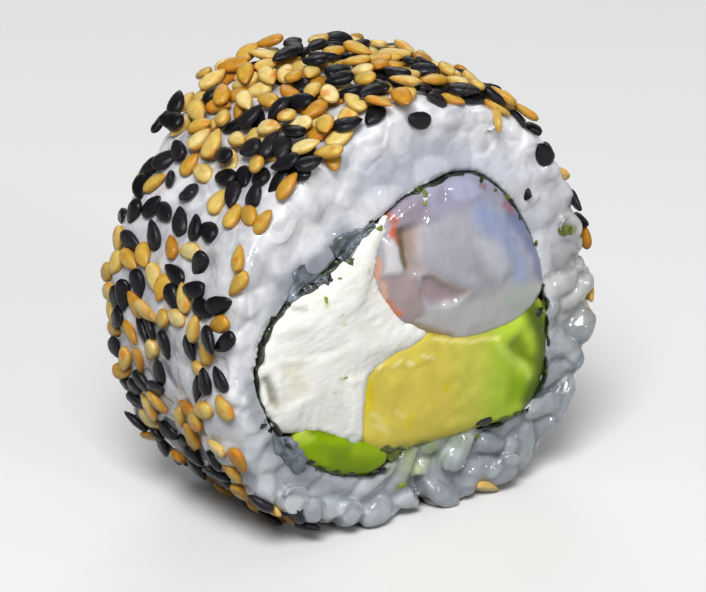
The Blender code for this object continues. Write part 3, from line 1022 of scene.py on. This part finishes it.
# Across, up, half width, half height, and tone from black nori through green to pale avocado.
CRUMBS = [
    (0.1, 12.5, 0.25, 0.4, 0.6), (-0.3, 12.9, 0.5, 0.3, 0.4), (-0.1, 11.6, 0.22, 0.28, 0.8),
    (-5.1, 10.0, 0.5, 0.25, 0.7), (-8.7, 7.4, 0.45, 0.45, 0.3), (10.2, 10.1, 0.3, 0.3, 0.5),
    (8.6, 11.2, 0.3, 0.2, 0.4), (6.9, 12.5, 0.4, 0.35, 0.15), (11.9, 7.6, 0.3, 0.35, 0.1),
    (14.4, 4.2, 0.2, 0.4, 0.5), (15.0, -0.6, 0.35, 0.4, 0.25), (15.2, -2.4, 0.3, 0.6, 0.35),
    (14.5, -3.0, 0.5, 0.5, 0.05), (-3.2, -14.0, 1.0, 0.9, 0.4), (0.1, -13.9, 0.9, 0.5, 0.6),
    (-1.8, -18.0, 0.8, 0.4, 0.9), (10.4, -13.7, 1.2, 0.4, 0.4), (12.0, -13.4, 0.8, 0.35, 0.35),
    (7.3, -15.1, 0.6, 0.3, 0.65), (-4.2, -13.3, 0.7, 0.5, 0.35), (7.8, -13.4, 1.2, 0.6, 0.0),
    (8.4, -14.2, 0.6, 0.5, 0.0), (-4.4, -15.8, 0.7, 0.35, 0.0), (-13.2, -12.6, 0.5, 0.4, 0.0),
    (-12.0, -13.5, 0.6, 0.3, 0.15), (-10.2, -14.3, 0.7, 0.25, 0.1), (-8.4, -15.0, 0.6, 0.25, 0.2),
    (-18.6, -7.4, 0.5, 0.3, 0.1), (-17.6, -8.2, 0.45, 0.3, 0.0), (-11.1, 6.2, 0.45, 0.5, 0.0),
    (-12.6, 5.6, 0.5, 0.2, 0.1), (-15.6, 4.4, 0.35, 0.3, 0.1), (-6.0, 10.7, 0.35, 0.35, 0.05),
    (17.9, 5.0, 0.95, 0.75, 0.45), (-17.3, 3.2, 0.4, 0.35, 0.05), (-18.7, 0.8, 0.25, 0.4, 0.05),
    (-9.6, -4.2, 0.25, 0.06, 0.8), (-11.7, 4.2, 0.16, 0.45, 0.9), (-10.0, 6.0, 0.25, 0.1, 0.7),
]


# ---------------------------------------------------------------- materials


WHITE = (255, 255, 255)


class Shader:
    """A Principled material with short ways to add nodes to it."""

    def __init__(self, name, roughness, **constants):
        self.material = bpy.data.materials.new(name)
        self.material.use_nodes = True
        self.tree = self.material.node_tree
        self.main = self.tree.nodes["Principled BSDF"]
        self.main.inputs["Roughness"].default_value = roughness
        for label, value in constants.items():
            self.main.inputs[label.replace("_", " ").title().replace("Ior", "IOR")].default_value = value

    def node(self, kind, **settings):
        made = self.tree.nodes.new(kind)
        for label, value in settings.items():
            setattr(made, label, value)
        return made

    def link(self, source, target):
        self.tree.links.new(source, target)

    def value(self, label):
        return self.node("ShaderNodeAttribute", attribute_name=label).outputs["Fac"]

    def colour(self, label):
        return self.node("ShaderNodeAttribute", attribute_name=label).outputs["Color"]

    def noise(self, size, detail=2.0, stretch=None):
        """Noise whose features are this many millimetres."""
        place = self.node("ShaderNodeTexCoord").outputs["Object"]
        if stretch:
            mapping = self.node("ShaderNodeMapping")
            mapping.inputs["Scale"].default_value = stretch
            self.link(place, mapping.inputs["Vector"])
            place = mapping.outputs["Vector"]
        made = self.node("ShaderNodeTexNoise")
        made.inputs["Scale"].default_value = 1 / (size * MM)
        made.inputs["Detail"].default_value = detail
        self.link(place, made.inputs["Vector"])
        return made.outputs["Fac"]

    def ramp(self, source, stops):
        """Colours (display RGB) or plain values by position."""
        made = self.node("ShaderNodeValToRGB")
        marks = made.color_ramp.elements
        while len(marks) < len(stops):
            marks.new(0.5)
        for mark, (place, colour) in zip(marks, stops):
            mark.position = place
            grey = not isinstance(colour, tuple)
            mark.color = (colour,) * 3 + (1,) if grey else (*linear(colour), 1)
        self.link(source, made.inputs["Fac"])
        return made.outputs["Color"]

    def mix(self, share, one, other, blend="MIX"):
        made = self.node("ShaderNodeMix", data_type="RGBA", blend_type=blend)
        for source, label in ((share, "Factor_Float"), (one, "A_Color"), (other, "B_Color")):
            socket = next(s for s in made.inputs if s.identifier == label)
            if isinstance(source, tuple):
                socket.default_value = (*linear(source), 1)
            elif isinstance(source, float):
                socket.default_value = source
            else:
                self.link(source, socket)
        return next(s for s in made.outputs if s.identifier == "Result_Color")

    def multiply(self, one, other):
        made = self.node("ShaderNodeMath", operation="MULTIPLY")
        for socket, source in zip(made.inputs, (one, other)):
            if isinstance(source, float):
                socket.default_value = source
            else:
                self.link(source, socket)
        return made.outputs[0]

    def bump(self, height, depth, strength=1.0, target="Normal"):
        """Relief this many millimetres deep. On "Coat Normal" only the wet film has it."""
        made = self.node("ShaderNodeBump")
        made.inputs["Strength"].default_value = strength
        made.inputs["Distance"].default_value = depth * MM
        self.link(height, made.inputs["Height"])
        self.link(made.outputs["Normal"], self.main.inputs[target])

    def base(self, source):
        self.link(source, self.main.inputs["Base Color"])

    def gloss(self, size, low, high):
        """Roughness that drifts between two values."""
        self.link(self.ramp(self.noise(size), [(0.3, low), (0.7, high)]), self.main.inputs["Roughness"])

    def mottled(self, strength, colour, patches, dark, low=0.35, high=0.65):
        """A colour, darkened where the patches are low."""
        return self.mix(strength, colour, self.ramp(patches, [(low, dark), (high, WHITE)]), "MULTIPLY")

    def flesh(self, weight, scale, radius=(1.0, 0.8, 0.7)):
        self.main.inputs["Subsurface Weight"].default_value = weight
        self.main.inputs["Subsurface Scale"].default_value = scale * MM
        self.main.inputs["Subsurface Radius"].default_value = radius


def rice_material():
    shader = Shader("rice", 0.35, coat_weight=1.0, coat_roughness=0.07, specular_ior_level=0.3)
    shader.flesh(0.2, 2.5, (1.0, 0.95, 0.9))
    grain = shader.ramp(
        shader.value("tone"), [(0.0, (206, 208, 214)), (0.45, (238, 239, 240)), (1.0, WHITE)]
    )
    colour = shader.mix(0.9, shader.colour("tint"), grain, "MULTIPLY")
    colour = shader.mottled(0.8, colour, shader.noise(1.8), (222, 224, 228), 0.38, 0.62)
    # Painted shade darkens the creases between whole grains; where the rice is mashed its grain borders are
    # instead a touch lighter, a faint painted sheen.
    crease_shade = shader.ramp(shader.value("crease"), [(0.0, (180, 184, 190)), (0.35, WHITE)])
    film = shader.ramp(shader.value("crease"), [(0.0, WHITE), (0.3, (240, 241, 243))])
    border = shader.mix(shader.value("mash"), crease_shade, film)
    shader.base(shader.mix(0.75, colour, border, "MULTIPLY"))
    shader.gloss(1.8, 0.25, 0.45)
    shader.bump(shader.noise(1.3, 1.0), 0.12, 0.6)
    wet = shader.ramp(shader.noise(3.5, 1.0), [(0.42, 0.2), (0.58, 1.0)])
    shader.bump(shader.multiply(wet, shader.noise(1.3, 2.0)), 0.4, 1.0, "Coat Normal")
    return shader.material


def golden_material():
    shader = Shader("sesame_golden", 0.4, specular_ior_level=0.35)
    shader.flesh(0.1, 1.0)
    body = shader.ramp(
        shader.value("tone"),
        [(0.0, (232, 218, 158)), (0.25, (220, 196, 116)), (0.6, (208, 176, 80)),
         (0.85, (198, 154, 50)), (1.0, (186, 126, 30))],
    )
    edge = shader.mix(shader.value("tone"), (192, 146, 36), (170, 102, 10))
    rim = shader.ramp(shader.value("rim"), [(0.6, 0.0), (1.0, 1.0)])
    colour = shader.mix(shader.multiply(rim, 0.75), body, edge)
    tip = shader.ramp(shader.value("along"), [(0.0, 1.0), (0.3, 0.0)])
    colour = shader.mix(shader.multiply(tip, 0.6), colour, edge)
    toast = shader.ramp(shader.noise(1.6, 1.0), [(0.6, 0.0), (0.72, 0.75)])
    colour = shader.mix(toast, colour, (214, 130, 22))
    shader.base(shader.mottled(0.7, colour, shader.noise(0.7), (220, 206, 184), 0.3, 0.7))
    shader.gloss(0.6, 0.28, 0.5)
    shader.bump(shader.noise(0.5), 0.06, 0.5)
    return shader.material


def black_material():
    shader = Shader("sesame_black", 0.4, specular_ior_level=0.22)
    body = shader.ramp(
        shader.value("tone"), [(0.0, (6, 6, 9)), (0.7, (14, 14, 20)), (1.0, (30, 26, 29))]
    )
    # Painted sheen lightens the rim towards a bluish grey.
    rim = shader.ramp(shader.value("rim"), [(0.85, 0.0), (1.0, 0.4)])
    shader.base(shader.mix(rim, body, (44, 43, 52)))
    shader.gloss(0.5, 0.28, 0.5)
    shader.bump(shader.noise(0.4, 2.0), 0.08, 0.7)
    return shader.material


def flesh_material():
    shader = Shader("shrimp", 0.25, coat_weight=0.7, coat_roughness=0.08, specular_ior_level=0.3)
    shader.flesh(0.2, 3.0)
    streaks = shader.noise(1.2, 2.0, (1.0, 0.3, 0.35))
    shader.base(shader.mottled(0.35, shader.colour("tint"), streaks, (222, 220, 224)))
    shader.gloss(2.5, 0.15, 0.35)
    shader.bump(shader.noise(1.6, 1.0, (1.0, 0.4, 0.4)), 0.1, 0.5)
    shader.bump(shader.noise(1.4, 2.0, (1.0, 0.5, 0.6)), 0.3, 1.0, "Coat Normal")
    return shader.material


def cheese_material():
    shader = Shader("cream_cheese", 0.5)
    shader.flesh(0.15, 1.5)
    shader.base(shader.mottled(0.7, shader.colour("tint"), shader.noise(2.2), (240, 240, 236)))
    shader.gloss(1.6, 0.4, 0.65)
    shader.bump(shader.noise(0.8, 3.0, (1.0, 1.0, 1.6)), 0.12, 0.6)
    return shader.material


def avocado_material(name):
    shader = Shader(name, 0.35, coat_weight=0.12, coat_roughness=0.08, specular_ior_level=0.12)
    shader.flesh(0.2, 2.5)
    shader.base(shader.mottled(0.7, shader.colour("tint"), shader.noise(2.0), (228, 232, 222)))
    shader.gloss(2.0, 0.25, 0.5)
    shader.bump(shader.noise(1.4, 1.0), 0.1, 0.5)
    return shader.material


def nori_material():
    shader = Shader("nori", 0.35)
    colour = shader.ramp(
        shader.noise(0.6, 3.0),
        [(0.3, (10, 14, 12)), (0.55, (24, 32, 26)), (0.72, (70, 88, 30)), (0.85, (120, 145, 50))],
    )
    shader.base(colour)
    shader.gloss(1.0, 0.2, 0.5)
    shader.bump(shader.noise(0.5, 3.0), 0.15, 0.8)
    return shader.material


def scrap_material():
    """Wet nori with a grey film of rice over it; its palest streaks are painted sheen."""
    shader = Shader("nori_film", 0.25, coat_weight=0.6, coat_roughness=0.12)
    # The darker tones are the nori and the grey rice over it; the palest streaks are painted sheen.
    colour = shader.ramp(
        shader.noise(1.2, 3.0),
        [(0.32, (30, 38, 36)), (0.45, (66, 77, 84)), (0.58, (96, 106, 118)), (0.72, (140, 148, 158))],
    )
    shader.base(colour)
    shader.gloss(1.0, 0.15, 0.4)
    shader.bump(shader.noise(0.7, 2.0), 0.12, 0.7)
    return shader.material


def crumb_material():
    shader = Shader("crumbs", 0.35, coat_weight=0.2, coat_roughness=0.1, specular_ior_level=0.3)
    shader.flesh(0.1, 1.0)
    colour = shader.ramp(
        shader.value("tone"),
        [(0.0, (16, 20, 14)), (0.2, (38, 48, 18)), (0.5, (98, 110, 28)), (1.0, (150, 164, 48))],
    )
    shader.base(shader.mottled(0.8, colour, shader.noise(0.5), (170, 176, 150)))
    shader.gloss(0.6, 0.2, 0.5)
    shader.bump(shader.noise(0.4), 0.08, 0.6)
    return shader.material


def floor_material():
    """Pale to the camera and in reflections, and mid grey as a source of light on the food."""
    shader = Shader("floor", 0.8)
    path = shader.node("ShaderNodeLightPath").outputs
    seen = shader.node("ShaderNodeMath", operation="MAXIMUM")
    shader.link(path["Is Camera Ray"], seen.inputs[0])
    shader.link(path["Is Glossy Ray"], seen.inputs[1])
    also = shader.node("ShaderNodeMath", operation="MAXIMUM")
    shader.link(seen.outputs[0], also.inputs[0])
    shader.link(path["Is Transmission Ray"], also.inputs[1])
    shader.base(shader.mix(also.outputs[0], (110, 110, 110), (226, 226, 226)))
    return shader.material


# ---------------------------------------------------------------- set


def build_floor():
    data = bpy.data.meshes.new("floor")
    half = FLOOR_SIZE / 2
    corners = [(-half, -half, 0), (half, -half, 0), (half, half, 0), (-half, half, 0)]
    data.from_pydata(corners, [], [(0, 1, 2, 3)])
    data.materials.append(floor_material())
    floor = bpy.data.objects.new("floor", data)
    bpy.context.scene.collection.objects.link(floor)


def aimed(name, data, azimuth, elevation, distance):
    """A lamp or camera that looks at the roll from this far, in metres. Azimuth 0 faces the near cut."""
    obj = bpy.data.objects.new(name, data)
    turn, lift = math.radians(azimuth), math.radians(elevation)
    back = np.array([math.sin(turn) * math.cos(lift), -math.cos(turn) * math.cos(lift), math.sin(lift)])
    obj.location = np.array(TARGET) * MM + back * distance
    obj.rotation_euler = (math.pi / 2 - lift, 0, turn)
    bpy.context.scene.collection.objects.link(obj)
    return obj


def lamp(name, size, watts, azimuth, elevation, distance):
    """A white square area lamp."""
    light = bpy.data.lights.new(name, "AREA")
    light.size = size
    light.energy = watts
    aimed(name, light, azimuth, elevation, distance)


def build_light():
    """A soft key from the upper left, small lamps that make the wet rice glint, and a weak back light."""
    lamp("key", 0.5, 18.0, -42, 48, 1.3)
    lamp("fill", 0.17, 3.2, 6, 16, 1.2)
    lamp("glint", 0.09, 1.3, -22, 44, 1.2)
    lamp("back", 0.9, 5.0, 150, 35, 1.6)
    world = bpy.data.worlds.new("world")
    world.use_nodes = True
    background = world.node_tree.nodes["Background"]
    background.inputs["Color"].default_value = (1, 1, 1, 1)
    background.inputs["Strength"].default_value = 0.18
    bpy.context.scene.world = world


def build_camera():
    data = bpy.data.cameras.new("camera")
    data.lens = LENS
    data.sensor_width = 36
    bpy.context.scene.camera = aimed("camera", data, AZIMUTH, ELEVATION, DISTANCE * MM)


def main():
    bpy.context.scene.view_settings.view_transform = "Standard"
    rng = np.random.default_rng(SEED)
    rice = build_rice(rng)
    build_sesame(rng, *rice)
    surfaces = [
        rice,
        build_shrimp(),
        build_cheese(),
        build_avocado(
            "avocado", "avocado_flesh", AVOCADO_COLOUR, AVOCADO_AREAS, AVOCADO_LINES,
            AVOCADO_AREA_RELIEF, AVOCADO_LINE_RELIEF,
        ),
        build_avocado(
            "avocado_tip", "avocado_green", TIP_COLOUR, TIP_AREAS, TIP_LINES, [], TIP_LINE_RELIEF,
        ),
        build_nori(),
    ]
    starts = np.cumsum([0] + [len(points) for points, _ in surfaces])
    tree = BVHTree.FromPolygons(
        np.concatenate([points for points, _ in surfaces]).tolist(),
        np.concatenate([faces + start for (_, faces), start in zip(surfaces, starts)]).tolist(),
    )
    build_scraps(tree)
    build_crumbs(rng, tree)
    build_floor()
    build_light()
    build_camera()


main()
